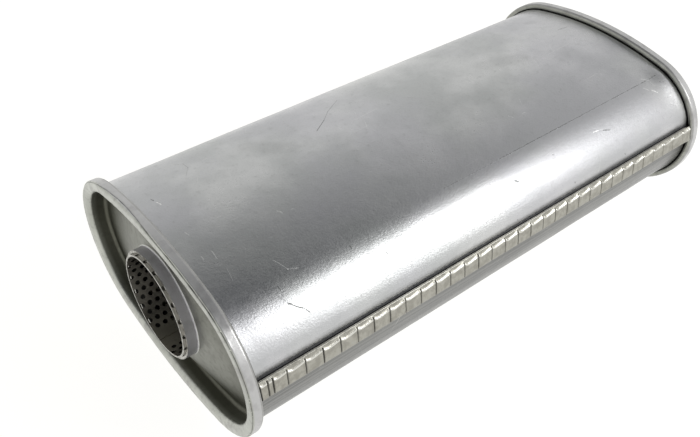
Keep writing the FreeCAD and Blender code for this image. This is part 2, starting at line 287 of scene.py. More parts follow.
def outside_first(mesh):
    """Turns the faces of a closed mesh outwards."""
    shape = bmesh.new()
    shape.from_mesh(mesh)
    bmesh.ops.recalc_face_normals(shape, faces=shape.faces)
    shape.to_mesh(mesh)
    shape.free()


def smooth(mesh, sharp_angle):
    """Shades a mesh smooth, apart from the edges that turn by more than an angle."""
    mesh.polygons.foreach_set("use_smooth", [True] * len(mesh.polygons))
    mesh.set_sharp_from_angle(angle=math.radians(sharp_angle))
    mesh.update()


# Materials

class Signal:
    """Output of a shader node. A sum, product or other expression on it adds Math nodes."""

    def __init__(self, nodes, socket):
        self.nodes = nodes
        self.socket = socket

    def math(self, operation, first, second=0.0):
        return self.nodes.node("ShaderNodeMath", {"operation": operation}, {0: first, 1: second})

    def __add__(self, other):
        return self.math("ADD", self, other)

    def __sub__(self, other):
        return self.math("SUBTRACT", self, other)

    def __rsub__(self, other):
        return self.math("SUBTRACT", other, self)

    def __mul__(self, other):
        return self.math("MULTIPLY", self, other)

    __radd__ = __add__
    __rmul__ = __mul__


class Nodes:
    """A node tree in the making."""

    def __init__(self, tree):
        self.tree = tree

    def node(self, kind, settings, inputs, output=0):
        """Adds a node: its settings are set first, then its sockets are given values or links."""
        made = self.tree.nodes.new(kind)
        for setting, value in settings.items():
            setattr(made, setting, value)
        for socket, value in inputs.items():
            self.feed(made.inputs[socket], value)
        return Signal(self, made.outputs[output])

    def feed(self, socket, value):
        """Links a signal to a socket, or sets the socket to a value."""
        if isinstance(value, Signal):
            self.tree.links.new(value.socket, socket)
        elif socket.type == "RGBA":
            socket.default_value = (*value, 1.0)
        else:
            socket.default_value = value

    def rise(self, value, low, high):
        """0 below low, 1 above high and smooth between; low may be the larger."""
        return self.node("ShaderNodeMapRange", {"interpolation_type": "SMOOTHSTEP"}, {
            "Value": value, "From Min": low, "From Max": high,
        })

    def blend(self, first, second, factor):
        """Colour that goes from first to second as factor goes from 0 to 1."""
        return self.node("ShaderNodeMix", {"data_type": "RGBA"}, {0: factor, 6: first, 7: second}, 2)

    def vectors(self, operation, first, second, output=0):
        """Vector Math node of two vectors."""
        return self.node("ShaderNodeVectorMath", {"operation": operation}, {0: first, 1: second}, output)


class Finish(Nodes):
    """A material in the making: its shader, and the nodes that vary it over the surface."""

    def __init__(self, name, **constants):
        self.material = bpy.data.materials.new(name)
        self.material.use_nodes = True
        super().__init__(self.material.node_tree)
        self.shader = self.tree.nodes["Principled BSDF"]
        self.set(**constants)

    def set(self, **inputs):
        """Feeds the shader's own sockets."""
        for socket, value in inputs.items():
            self.feed(self.shader.inputs[socket.replace("_", " ")], value)

    def place(self):
        """Place on the object in metres."""
        return self.node("ShaderNodeTexCoord", {}, {}, "Object")

    def attribute(self, name):
        """Value stored at the mesh's points."""
        return self.node("ShaderNodeAttribute", {"attribute_name": name}, {}, "Fac")

    def vector(self, x, y, z=0.0):
        return self.node("ShaderNodeCombineXYZ", {}, {0: x, 1: y, 2: z})

    def noise(self, vector, scale, detail=3.0, roughness=0.55, distortion=0.0):
        """Noise about 0.5, with scale lumps to a unit of the vector."""
        return self.node("ShaderNodeTexNoise", {}, {
            "Vector": vector, "Scale": scale, "Detail": detail,
            "Roughness": roughness, "Distortion": distortion,
        }, "Fac")

    def bump(self, height, depth):
        """Normal from a height of 0 to 1 that stands for depth in metres."""
        return self.node("ShaderNodeBump", {}, {"Height": height, "Distance": depth})

    def streaks(self, flat, angle, along, across, low, high):
        """Thin scratches at an angle on a flattened surface, from noise drawn out along them."""
        turned = self.node("ShaderNodeVectorRotate", {"rotation_type": "Z_AXIS"}, {
            "Vector": flat, "Angle": math.radians(angle),
        })
        drawn = self.vectors("MULTIPLY", turned, (along, across, 1.0))
        return self.rise(self.noise(drawn, 1.0, 2.0, 0.6), low, high)

    def strokes(self, flat, marks):
        """Sum of single strokes, each of its own tone, on a flattened surface in millimetres."""
        total = 0.0
        for start_x, start_y, stop_x, stop_y, width, tone in marks:
            way = Vector((stop_x - start_x, stop_y - start_y, 0))
            offset = self.vectors("SUBTRACT", flat, (start_x, start_y, 0))
            part = self.vectors("DOT_PRODUCT", offset, way / way.length_squared, "Value")
            part = self.node("ShaderNodeClamp", {}, {0: part})
            nearest = self.vectors("MULTIPLY", tuple(way), self.vector(part, part, part))
            gap = self.vectors("DISTANCE", offset, nearest, "Value")
            total = self.rise(gap, width, width * 0.25) * tone + total
        return total


def shell_steel():
    """Aluminised sheet: satin, cloudy, lightly scratched and handled."""
    finish = Finish("shell_steel", Metallic=1.0)
    along, around = finish.attribute("along"), finish.attribute("around")
    flat = finish.vector(along, around)
    clouds = finish.noise(flat, 0.016, 4.0, 0.6)
    tint = finish.noise(flat, 0.011, 3.0, 0.5)
    mottle = finish.noise(flat, 0.22, 4.0, 0.65)
    spangle = finish.noise(flat, 0.8, 3.0, 0.65)
    grain = finish.noise(finish.vectors("MULTIPLY", flat, (0.35, 2.6, 1.0)), 1.0, 3.0, 0.6)
    lengthways = finish.streaks(flat, 4.0, 0.012, 1.1, 0.70, 0.76)
    slanting = finish.streaks(flat, 61.0, 0.02, 1.5, 0.72, 0.76)
    fine = lengthways * 0.5 + slanting * 0.6
    ragged = (finish.noise(flat, 0.9, 2.0) - 0.5) * 1.1
    marks = [
        (start, AROUND - start_up, stop, AROUND - stop_up, width, tone)
        for start, start_up, stop, stop_up, width, tone in SHELL_MARKS
    ]
    strokes = finish.strokes(finish.vector(along + ragged, around - ragged), marks)
    scratched = finish.rise(strokes, 0.0, 1.0)
    dulled = finish.rise(strokes, 0.0, -1.0)
    painted_shading = finish.attribute("painted_shading")
    worn = finish.rise(clouds, 0.40, 0.66)
    colour = finish.blend((0.49, 0.50, 0.50), (0.60, 0.605, 0.605), worn)
    colour = finish.blend(colour, (0.54, 0.53, 0.575), finish.rise(tint, 0.40, 0.62) * 0.4)
    # Painted shade: the band below the seam, which faces down to the floor, is made darker, with lighter
    # and darker streaks along it.
    lines = finish.noise(finish.vectors("MULTIPLY", flat, (0.004, 0.5, 1.0)), 1.0, 3.0, 0.6)
    under = finish.blend((0.14, 0.14, 0.137), (0.25, 0.25, 0.24), finish.rise(lines, 0.36, 0.66))
    colour = finish.blend(colour, under, finish.rise(around, 95.0, 40.0) * 0.92)
    # Painted shade on the seam's tabs: a darker, olive colour that stands in for their shade and the
    # floor's warm reflection.
    tabs = finish.blend((0.31, 0.30, 0.265), (0.41, 0.40, 0.355), finish.rise(mottle, 0.38, 0.62))
    colour = finish.blend(colour, tabs, finish.rise(around, 11.0, 9.0))
    colour = finish.blend(colour, (0.38, 0.39, 0.38), finish.rise(mottle, 0.54, 0.80) * 0.45)
    colour = finish.blend(colour, (0.36, 0.37, 0.36), finish.rise(spangle, 0.52, 0.78) * 0.35)
    colour = finish.blend(colour, (0.92, 0.92, 0.90), finish.rise(fine + scratched, 0.0, 1.0) * 0.8)
    colour = finish.blend(colour, (0.10, 0.105, 0.10), dulled)
    # Painted highlight on the seam's ridge where the attribute is below 0, and painted shade, nearly black,
    # where it is above 0.
    colour = finish.blend(colour, (0.80, 0.79, 0.74), finish.rise(painted_shading, 0.0, -1.0))
    colour = finish.blend(colour, (0.012, 0.012, 0.014), painted_shading)
    finish.set(
        Base_Color=colour,
        Roughness=0.36 - worn * 0.05 + (mottle - 0.5) * 0.16 + (spangle - 0.5) * 0.22 + painted_shading * 0.3,
        Normal=finish.bump(grain * 0.4 + mottle * 0.8 + spangle * 0.8 - strokes * 0.5, 0.00009),
    )
    return finish.material


def cap_steel():
    """Drawn and rolled aluminised sheet: olive and worn, lilac on its neck, rougher in its recess, with
    painted shade there and in the rim's groove, and painted glints along the groove.
    """
    finish = Finish("cap_steel", Metallic=1.0)
    place = finish.place()
    clouds = finish.noise(place, 26.0, 4.0, 0.6)
    mottle = finish.noise(place, 300.0, 4.0, 0.62)
    blotch = finish.noise(place, 110.0, 3.0, 0.6)
    groove_glints = finish.rise(finish.noise(place, 800.0, 2.0, 0.5), 0.64, 0.72)
    neck, cap_painted_shade, painted_shading = (finish.attribute(name) for name in ("neck", "cap_painted_shade", "painted_shading"))
    colour = finish.blend((0.44, 0.45, 0.41), (0.54, 0.55, 0.505), finish.rise(clouds, 0.38, 0.66))
    colour = finish.blend(colour, (0.33, 0.33, 0.31), finish.rise(mottle, 0.50, 0.74) * 0.6)
    colour = finish.blend(colour, (0.40, 0.39, 0.36), finish.rise(blotch, 0.52, 0.66) * 0.4)
    colour = finish.blend(colour, (0.55, 0.54, 0.565), neck)
    colour = finish.blend(colour, (0.30, 0.30, 0.30), finish.rise(blotch, 0.50, 0.70) * 0.35)
    # Painted shade in the recess, over the panel and on the rim's back fold, where the roughness is also
    # higher.
    colour = finish.blend(colour, (0.075, 0.075, 0.052), cap_painted_shade)
    # Painted shade, nearly black, in the rim's groove and over the cap's back.
    colour = finish.blend(colour, (0.02, 0.02, 0.02), painted_shading)
    # Painted glints: bright specks in and beside the rim's groove.
    colour = finish.blend(colour, (0.90, 0.90, 0.82), groove_glints * finish.rise(painted_shading, 0.02, 0.3) * 0.9)
    finish.set(
        Base_Color=colour,
        Metallic=1.0 - neck * 0.5,
        Roughness=0.40 + (mottle - 0.5) * 0.26 - clouds * 0.10 + cap_painted_shade * 0.12,
        Normal=finish.bump(mottle * 0.6 + blotch * 0.6, 0.00010),
    )
    return finish.material


def tube_steel():
    """Dull punched sheet, dark brown, with painted light where light falls: lighter along its bottom inside
    and on its outside.
    """
    finish = Finish("tube_steel", Metallic=0.9)
    place = finish.place()
    clouds = finish.noise(place, 45.0, 4.0, 0.6)
    mottle = finish.noise(place, 520.0, 3.0, 0.6)
    across = finish.vectors("MULTIPLY", place, (0.0, 1.0, 1.0))
    from_axis = finish.vectors("LENGTH", across, (0.0, 0.0, 0.0), "Value")
    colour = finish.blend((0.17, 0.16, 0.135), (0.28, 0.265, 0.23), finish.rise(clouds, 0.35, 0.7))
    # Painted light along the bottom of the tube's inside, over the plain strip.
    strip = finish.rise(finish.vectors("DOT_PRODUCT", place, (0.0, 0.07, -1.0), "Value"), 0.0255, 0.0295)
    colour = finish.blend(colour, (0.36, 0.34, 0.28), strip)
    # Painted light: the tube's outside, seen on the band out of the caps, is lighter than its inside.
    colour = finish.blend(colour, (0.50, 0.48, 0.44), finish.rise(from_axis, 0.0312, 0.0316))
    colour = finish.blend(colour, (0.10, 0.09, 0.075), finish.rise(mottle, 0.55, 0.8) * 0.6)
    finish.set(
        Base_Color=colour,
        Roughness=0.46 + (mottle - 0.5) * 0.3,
        Normal=finish.bump(mottle, 0.00006),
    )
    return finish.material


def edge_steel(name, dark, bright):
    """Sheared edge of a sheet, nicked, between a darker and a brighter colour."""
    finish = Finish(name, Metallic=1.0)
    nicks = finish.noise(finish.place(), 600.0, 3.0, 0.6)
    finish.set(
        Base_Color=finish.blend(dark, bright, finish.rise(nicks, 0.35, 0.65)),
        Roughness=0.30 + nicks * 0.2,
        Normal=finish.bump(nicks, 0.0001),
    )
    return finish.material


def wool_steel():
    """Steel wool: fine dark strands with a few bright ones."""
    finish = Finish("steel_wool", Metallic=0.6)
    drawn = finish.vectors("MULTIPLY", finish.place(), (300.0, 1600.0, 1600.0))
    strands = finish.noise(drawn, 1.0, 4.0, 0.7, 1.5)
    colour = finish.blend((0.004, 0.004, 0.004), (0.028, 0.026, 0.023), finish.rise(strands, 0.45, 0.75))
    finish.set(Base_Color=colour, Roughness=0.6 + strands * 0.2, Normal=finish.bump(strands, 0.0004))
    return finish.material


def packing_fibre():
    """Pale matted glass fibre."""
    finish = Finish("packing_fibre")
    drawn = finish.vectors("MULTIPLY", finish.place(), (160.0, 700.0, 700.0))
    strands = finish.noise(drawn, 1.0, 4.0, 0.7, 1.2)
    colour = finish.blend((0.52, 0.47, 0.36), (0.80, 0.76, 0.64), finish.rise(strands, 0.35, 0.7))
    finish.set(Base_Color=colour, Roughness=0.85 + strands * 0.1, Normal=finish.bump(strands, 0.0006))
    return finish.material


# Shell

def notch_places():
    """Places of the seam's notches along the shell, measured from the inlet rim."""
    last = RIM_TO_RIM - SEAM_END_GAP - NOTCH_PITCH / 2
    regular = np.arange(FIRST_NOTCH, last, NOTCH_PITCH)
    return list(FAULTY_NOTCHES) + regular.tolist()


def shell_stations():
    """Places along the shell of its rows of points: close together at the notches and the rims."""
    beside_notch = (-1.15, -0.85, -0.66, -0.48, -0.31, -0.15, 0.0, 0.15, 0.31, 0.48, 0.66, 0.9)
    seam_start, seam_stop = SEAM_END_GAP, RIM_TO_RIM - SEAM_END_GAP
    stations = {seam_start, seam_start + 0.6, seam_start + 1.4, seam_stop - 1.4, seam_stop - 0.6, seam_stop}
    notches = notch_places()
    for notch in notches:
        stations.update(notch + step for step in beside_notch)
    bounds = [seam_start + 1.4] + notches + [seam_stop - 1.4]
    for start, stop in zip(bounds, bounds[1:]):
        count = max(2, round((stop - start - 2.0) / 0.85))
        stations.update(np.linspace(start + 0.9, stop - 1.15, count + 1)[1:-1].tolist())
    inside_rim = [0.25, -0.4, -1.6, -3.2, -5.2]
    stations.update(inside_rim)
    stations.update(RIM_TO_RIM - step for step in inside_rim)
    return np.array(sorted(stations))


def scallops(along):
    """How far the seam's outer top edge is pressed down at places along it: most just past each notch."""
    notches = np.array([SEAM_END_GAP] + notch_places() + [RIM_TO_RIM - SEAM_END_GAP])
    cell = np.clip(np.searchsorted(notches, along, side="right") - 1, 0, len(notches) - 2)
    width = notches[cell + 1] - notches[cell]
    part = np.clip((along - notches[cell]) / width, 0, 1)
    sag = np.minimum(SCALLOP_SAG, width / 8) * (0.95 + 0.15 * np.sin(cell * 2.3))
    sag = sag * (1 - 0.45 * ease(along, 290, 350))
    return SCALLOP_START + sag * (0.35 + 0.65 * ease(part, 0, 0.28)) * (1 - part**1.9)


def seam_skin(sag):
    """Runs, heights and tones of the seam's skin, from the gap under its top edge to the wall below it.

    sag is how far the outer top edge hangs down, and the runs have a row for each value of it."""
    face_runs, face_fades = np.linspace(0.9, 8.0, 13), np.linspace(0.9, 0, 13)
    face = [(run, fade, FACE_HEIGHT, 0.0) for run, fade in zip(face_runs, face_fades)]
    rows = [*SEAM_EDGE_ROWS, *face, *SEAM_JOG_ROWS]
    runs = np.array([[run + fade * value for run, fade, _, _ in rows] for value in sag])
    return runs, np.array([row[2] for row in rows]), np.array([row[3] for row in rows])


def notch_shares(along):
    """How deep in a notch's groove places along the seam are, and how near the ridge beside it."""
    groove = np.zeros(along.shape)
    ridge = np.zeros(along.shape)
    for index, notch in enumerate(notch_places()):
        strength = (0.9 + 0.2 * math.sin(index * 1.9)) * float(1 - 0.65 * ease(notch, 285, 350))
        offset = along - notch
        groove += strength * ease(1 - np.abs(offset) / (NOTCH_WIDTH / 2), 0, 1)
        ridge += strength * np.exp(-(((offset + 0.85) / 0.25) ** 2))
    return groove, ridge


def press_marks(along, run):
    """Height added to the seam's face by the press: dished tabs, notches and the crease under them."""
    groove, ridge = notch_shares(along)
    reach = 1 - ease(run, NOTCH_REACH - 1.0, NOTCH_REACH + 0.4)
    cell = (along - FIRST_NOTCH) / NOTCH_PITCH
    dish = np.sin(math.pi * (cell - np.floor(cell))) ** 2
    height = (0.14 * ridge - NOTCH_DEPTH * groove) * reach
    height = height - 0.22 * dish * np.exp(-(((run - 3.6) / 2.0) ** 2))
    height = height + 0.08 * dish * np.exp(-(((run - 7.2) / 0.6) ** 2))
    return height - 0.12 * np.exp(-(((run - 8.1) / 0.35) ** 2))


def far_corner(along, run):
    """Lift of the seam's lower corner at its far end, and the shadowed gap under it, each 0 to 1."""
    lift = ease(along, 336, 350) * np.exp(-(((run - 7.6) / 1.2) ** 2))
    gap = ease(along, 340, 351) * (1 - ease(along, 357, 360)) * np.exp(-(((run - 9.7) / 0.9) ** 2))
    return lift, gap


def wall_form(along, run, points):
    """How far the wall stands out of a true oval: bulge, ripples, flared ends, far corner and dip."""
    above_seam = AROUND - (run - SEAM_TOP) % AROUND
    crown = ease(np.abs(points[..., 2]), 0.45 * HALF_HEIGHT, HALF_HEIGHT)
    bulge = 0.55 * np.sin(math.pi * np.clip(along / RIM_TO_RIM, 0, 1)) * crown
    flat_points = points.reshape(-1, 3)
    ripple = 0.20 * rough(flat_points, 55.0, 1) + 0.05 * rough(flat_points, 17.0, 2)
    ripple = ripple.reshape(along.shape)
    rim_gap = np.minimum(along, RIM_TO_RIM - along)
    flare = (0.1 + 0.5 * ease(along, 100, 300)) * np.clip(1 - rim_gap / 9, 0, 1) ** 2
    flare = flare * ease(rim_gap, -1.4, 0.2) * (1 + 1.2 * ripple)
    dip = 0.75 * np.clip((6.2 - above_seam) / 6.0, 0, 1) ** 1.2
    crease = 0.06 * np.exp(-(((above_seam - 4.8) / 0.3) ** 2)) * (1 - ease(along, 90, 150))
    swell = 1.5 * np.exp(-(((rim_gap - 4) / 8) ** 2) - ((above_seam - 38) / 15) ** 2)
    swell = swell * ease(rim_gap, -0.5, 4) * ease(along, 200, 300)
    return bulge + ripple * ease(rim_gap, 0, 12) + flare + swell + crease - dip


def outer_shell(material):
    """Wrapped sheet with its lock seam, as one closed skin."""
    stations = shell_stations()
    in_seam = ((stations >= SEAM_END_GAP) & (stations <= RIM_TO_RIM - SEAM_END_GAP))[:, None]
    skin_runs, skin_heights, skin_tones = seam_skin(scallops(stations))
    seam_top = AROUND + SEAM_TOP
    first_wall, last_wall = skin_runs[0, -1], seam_top + 1.5
    wall_runs = np.concatenate([
        first_wall + np.array([1.2, 2.8]),
        np.linspace(first_wall + 5.0, last_wall - 12.0, 72),
        seam_top - np.array(DIP_ROWS),
    ])
    runs = np.hstack([skin_runs, np.tile(wall_runs, (len(stations), 1))])
    heights = np.concatenate([skin_heights, np.zeros(len(wall_runs))])
    tones = np.concatenate([skin_tones, np.zeros(len(wall_runs))])
    along = np.tile(stations[:, None], (1, runs.shape[1]))
    inside = ease(along, 0.3, 3.0) * ease(RIM_TO_RIM - along, 0.3, 3.0)
    on_seam = (np.arange(runs.shape[1]) >= OUTER_SHEET_ROW) & (heights > 0.02)
    skew = np.where(on_seam, np.clip((runs + 1) / NOTCH_REACH, 0, 1) * (1 - ease(runs, 9.0, 12.0)), 0)
    slanted = along + NOTCH_SLANT * skew * inside
    y, z = on_oval(runs, 0.0)
    base = np.stack([slanted - RIM_TO_RIM / 2, y, z], -1)
    form = wall_form(slanted, runs, base)
    lift, corner_gap = far_corner(along, runs)
    face = ((heights > 2.6) | (heights > 1.5) & (runs > 8)) * in_seam
    corner = (0.5 * lift - 0.4 * corner_gap) * on_seam * in_seam
    out = heights * in_seam + press_marks(along, runs) * face + corner
    y, z = on_oval(runs, out + form)
    outer = np.stack([slanted - RIM_TO_RIM / 2, y, z], -1)
    groove, _ = notch_shares(along)
    beyond_notch = ease(runs, NOTCH_REACH - 0.6, NOTCH_REACH + 0.4)
    # Painted shade: black where the wall runs in under the seam's top edge, dark in the notches' grooves,
    # in the gap under the far corner and at the shell's ends inside the rims, and lighter over the band
    # just above the seam. The seam's rows add their tones: painted shade above 0, and a painted highlight
    # on the scallops' ridge below 0.
    painted_shading = 0.72 * ease(groove, 0.1, 0.8) * (1 - beyond_notch) * (heights > 2.5)
    for dirt in (
        np.maximum(tones, 0.0) * in_seam,
        ease(runs, seam_top - 0.8, seam_top),
        0.3 * ease(runs, seam_top - 4.4, seam_top - 0.6),
        0.85 * corner_gap * on_seam,
        0.9 * (1 - ease(np.minimum(along, RIM_TO_RIM - along), 0.1, 0.9)),
    ):
        painted_shading = np.maximum(painted_shading, dirt)
    painted_shading = np.where(painted_shading < 0.1, painted_shading + np.minimum(tones, 0.0) * in_seam, painted_shading)
    ends = []
    for row in (-1, 0):
        y, z = on_oval(runs[row], form[row] - SHELL_SHEET)
        ends.append(np.stack([outer[row, :, 0], y, z], -1))
    points = np.concatenate([outer, np.array(ends)])

    def closed(values):
        return np.concatenate([values, values[[-1, 0]]])

    return add_piece(
        "lock_seamed_shell", points.reshape(-1, 3), grid_faces(*points.shape[:2]), [material],
        attributes={"along": closed(along), "around": closed(runs), "painted_shading": closed(painted_shading)},
        sharp_angle=38.0,
    )


# End caps

def bent_line(path, step=13.0):
    """Points along a folded line of (u, v, bend radius) corners, with an arc at each bend."""
    corners = [Vector((u, v)) for u, v, _ in path]
    line = [corners[0]]
    for index in range(1, len(path) - 1):
        corner, radius = corners[index], path[index][2]
        before = (corner - corners[index - 1]).normalized()
        after = (corners[index + 1] - corner).normalized()
        turn = before.angle_signed(after)
        if radius == 0:
            line.append(corner)
            continue
        reach = radius * math.tan(abs(turn) / 2)
        start = corner - before * reach
        side = Vector((-before.y, before.x)) * (-1 if turn > 0 else 1)
        centre = start + side * radius
        count = max(2, round(math.degrees(abs(turn)) / step))
        for number in range(count + 1):
            swing = Matrix.Rotation(-turn * number / count, 2)
            line.append(centre + swing @ (start - centre))
    line.append(corners[-1])
    kept = [line[0]]
    for point in line[1:]:
        if (point - kept[-1]).length > 1e-4:
            kept.append(point)
    return np.array(kept)


def two_sides(line, sheet):
    """The line moved half a sheet to its left and to its right."""
    steps = np.diff(line, axis=0)
    steps /= np.linalg.norm(steps, axis=1)[:, None]
    ways = np.vstack([steps[:1], steps[:-1] + steps[1:], steps[-1:]])
    ways /= np.linalg.norm(ways, axis=1)[:, None]
    lefts = np.stack([-ways[:, 1], ways[:, 0]], -1)
    return line + lefts * sheet / 2, line - lefts * sheet / 2


def cap_section():
    """Neck and rim of a cap's section, each as its seen side and its back, in depth and distance out.

    Corners without a bend only add points between the bends."""
    top = NECK_DEPTH + CAP_SHEET / 2
    neck = bent_line([
        *[(place, NECK_MIDDLE, 0) for place in (-NECK_PROUD, -0.45, 0.6, 2.2)],
        (top, NECK_MIDDLE, NECK_BEND), (top, NECK_MIDDLE + NECK_BEND + CAP_SHEET, 0),
    ])
    foot = RECESS_DEPTH + CAP_SHEET / 2
    wall = -(SHELL_SHEET + CAP_WALL_GAP + CAP_SHEET / 2)
    band = RIM_HEIGHT - CAP_SHEET / 2
    hook = HOOK_GAP + CAP_SHEET / 2
    fold_bend = (band - hook) / 2
    fold = RIM_LENGTH - CAP_SHEET / 2
    front = CAP_SHEET / 2
    rim = bent_line([
        (foot, wall - RECESS_BEND - CAP_SHEET, 0),
        (foot, wall, RECESS_BEND), (6.0, wall, 0), (front, wall, LIP_BEND),
        (front, 1.9, 0), (front, 2.3, 0), (front, band, LIP_EDGE_BEND),
        *[(place, band, 0) for place in np.arange(2.0, 5.3, 0.3)],
        (fold, band, fold_bend), (fold, hook, fold_bend),
        (CAP_SHEET + 2 * HOOK_GAP + SHELL_SHEET, hook, 0),
    ], step=8.0)
    return two_sides(neck, CAP_SHEET), two_sides(rim, CAP_SHEET)


def worked_rim(line, normals, ring, turns, seed, drift, dents):
    """Depth and distance out of a rim's seen side all round, with the marks of the seaming roll and of use.

    ring has the place in space and the run of each point round the rim, and drift is how far the roll's
    groove wanders from the corner. The third value is how much painted shade the groove gets."""
    run = np.concatenate([[0], np.cumsum(np.linalg.norm(np.diff(line, axis=0), axis=1))])
    corner = run[np.argmin(np.hypot(line[:, 0], line[:, 1] - RIM_HEIGHT))]
    past = (run - corner)[:, None]
    wander = drift * ease(turns, 30, 56) * (1 - ease(turns, 60, 106))
    middle = wander + 0.15 * rough(ring, 9.0, seed)
    groove = np.exp(-(((past - middle) / (ROLL_MARK_WIDTH / 2)) ** 2))
    groove = groove * (0.9 + 0.3 * rough(ring, 5.0, seed + 2))
    beads = np.exp(-(((past - middle + 0.75) / 0.35) ** 2)) * np.clip(rough(ring, 2.4, seed + 3), 0, 1)
    on_band = ease(past, 0.4, 1.8) * (1 - ease(past, 9.0, 11.0))
    on_lip = ease(past, -7.5, -6.0) * (1 - ease(past, -2.5, -0.8))
    wave = 0.20 * rough(ring, 14.0, seed + 4) + 0.09 * rough(ring, 4.5, seed + 5)
    shift = on_band * (wave - 0.10) - on_lip * 0.12 * (1 + rough(ring, 17.0, seed + 6))
    shift = shift - ROLL_MARK_DEPTH * groove - 0.16 * beads
    for above, place, length, depth in dents:
        from_dent = (ring[:, 3] + above) % AROUND
        from_dent = np.minimum(from_dent, AROUND - from_dent)
        shift = shift - depth * np.exp(-((from_dent / length) ** 2) - ((past - place) / 1.4) ** 2)
    shift = np.minimum(shift, 0.0)
    depth = line[:, :1] + normals[:, :1] * shift
    out = line[:, 1:] + normals[:, 1:] * shift
    return depth, out, np.clip(groove * 1.15 - 0.3, 0, 1) * 0.85


def cap_tones(depths, rim_out, panel_start, rim_start):
    """How much neck and how much painted shade each point of a cap's seen side has.

    rim_out is how far out the rim's rows are. The panel's and the rim's start are row numbers."""
    first_depths = depths[:, 0]
    out = np.concatenate([np.full(rim_start, -9.0), rim_out])
    neck = np.zeros(depths.shape)
    neck[:panel_start - 5] = 1.0
    outer_band = (out > 4.0) & (first_depths > 1.2)
    neck[outer_band] = 0.6
    # Painted shade: darkest down the recess's wall and at its foot, dark over the panel and darker the
    # deeper it lies, and lighter on the rim's back fold.
    recess_wall = (out > -3.2) & (out < 0)
    down_wall = (1 - ease(depths, 10.8, 12.2)) * ease(depths, 1.2, 4.5)
    cap_painted_shade = 0.86 * down_wall * recess_wall[:, None]
    panel = slice(panel_start - 3, rim_start + 6)
    cap_painted_shade[panel] = np.maximum(cap_painted_shade[panel], 0.62 + 0.20 * ease(depths[panel], 6.0, 12.0))
    wall_foot = (out > -7.0) & (out < -2.0) & (first_depths > 9.5)
    cap_painted_shade[wall_foot] = 0.88
    fold = (out > 2.0) & (first_depths > 5.6)
    cap_painted_shade[fold] = 0.35
    return neck, cap_painted_shade


def end_cap(name, side, seed, steel, cut, drift=0.0, dents=()):
    """Drawn cap with a round neck and a rolled rim. side is -1 at the inlet and 1 at the outlet."""
    (neck_seen, neck_back), (rim_seen, rim_back) = cap_section()
    runs = np.linspace(0, AROUND, CAP_STATIONS, endpoint=False)
    normal_turns = oval_turns(runs)
    y, z = on_oval(runs, 0.0)
    ring = np.stack([np.full(CAP_STATIONS, CAP_NOISE_PLACE * side), y, z, runs], -1)
    turns = np.degrees(np.arctan2(z, y)) % 360
    collar = 0.35 * np.cos(np.radians(turns - 75)) - 0.35 - 0.12 * (1 + rough(ring, 11.0, seed + 8))

    def neck_rows(line):
        depth = line[:, :1] + collar * (1 - ease(line[:, :1], -NECK_PROUD, 2.4))
        radius = line[:, 1:]
        return np.stack([depth, radius * np.cos(normal_turns), radius * np.sin(normal_turns)], -1)

    def rim_rows(depth, out):
        y, z = on_oval(runs, out)
        return np.stack([depth + 0 * y, y, z], -1)

    def one_side(neck, rim):
        panel = [neck[-1] + (rim[0] - neck[-1]) * part for part in (0.1, 0.25, 0.4, 0.55, 0.7, 0.85, 0.94)]
        return np.array([*neck, *panel, *rim])

    normals = (rim_seen - rim_back) / CAP_SHEET
    depth, out, groove = worked_rim(rim_seen, normals, ring, turns, seed, drift, dents)
    seen = one_side(neck_rows(neck_seen), rim_rows(depth, out))
    behind = one_side(neck_rows(neck_back), rim_rows(rim_back[:, :1], rim_back[:, 1:]))
    points = np.concatenate([seen, behind[::-1]])
    rim_start = len(seen) - len(rim_seen)
    back = ((0, len(behind)), (0, 0))
    neck, cap_painted_shade = cap_tones(seen[..., 0], out[:, 0], len(neck_seen), rim_start)
    # Painted shade in the roll's groove, and nearly black over the cap's back, which shows through the
    # tube's holes.
    painted_shading = np.concatenate([
        np.zeros((rim_start, CAP_STATIONS)), groove, np.full((len(behind), CAP_STATIONS), 0.9),
    ])
    points[..., 0] = side * (RIM_FRONT - points[..., 0])
    faces = grid_faces(*points.shape[:2])
    picks = np.zeros(len(faces), int)
    picks[-CAP_STATIONS:] = 1
    return add_piece(
        name, points.reshape(-1, 3), faces, [steel, cut], picks=picks, sharp_angle=40.0,
        attributes={"neck": np.pad(neck, back), "cap_painted_shade": np.pad(cap_painted_shade, back), "painted_shading": painted_shading},
    )


# Tube

def punched_cells():
    """Six-sided cells of the tube's sheet: place along, angle, and whether a hole is punched there."""
    half_strip = (PLAIN_STRIP_WIDTH / 2 - HOLE_RADIUS) / TUBE_RADIUS
    strip = math.radians(PLAIN_STRIP_ANGLE)
    first = MOUTH - FIRST_RING
    rings = int(2 * first / RING_PITCH)
    pitch = 2 * first / rings
    for ring in range(-2, rings + 3):
        for number in range(HOLES_AROUND):
            angle = math.radians(FIRST_HOLE_ANGLE) + (number + ring % 2 / 2) * HOLE_STEP
            from_strip = (angle - strip + math.pi) % (2 * math.pi) - math.pi
            yield -first + ring * pitch, angle, pitch, 0 <= ring <= rings and abs(from_strip) > half_strip


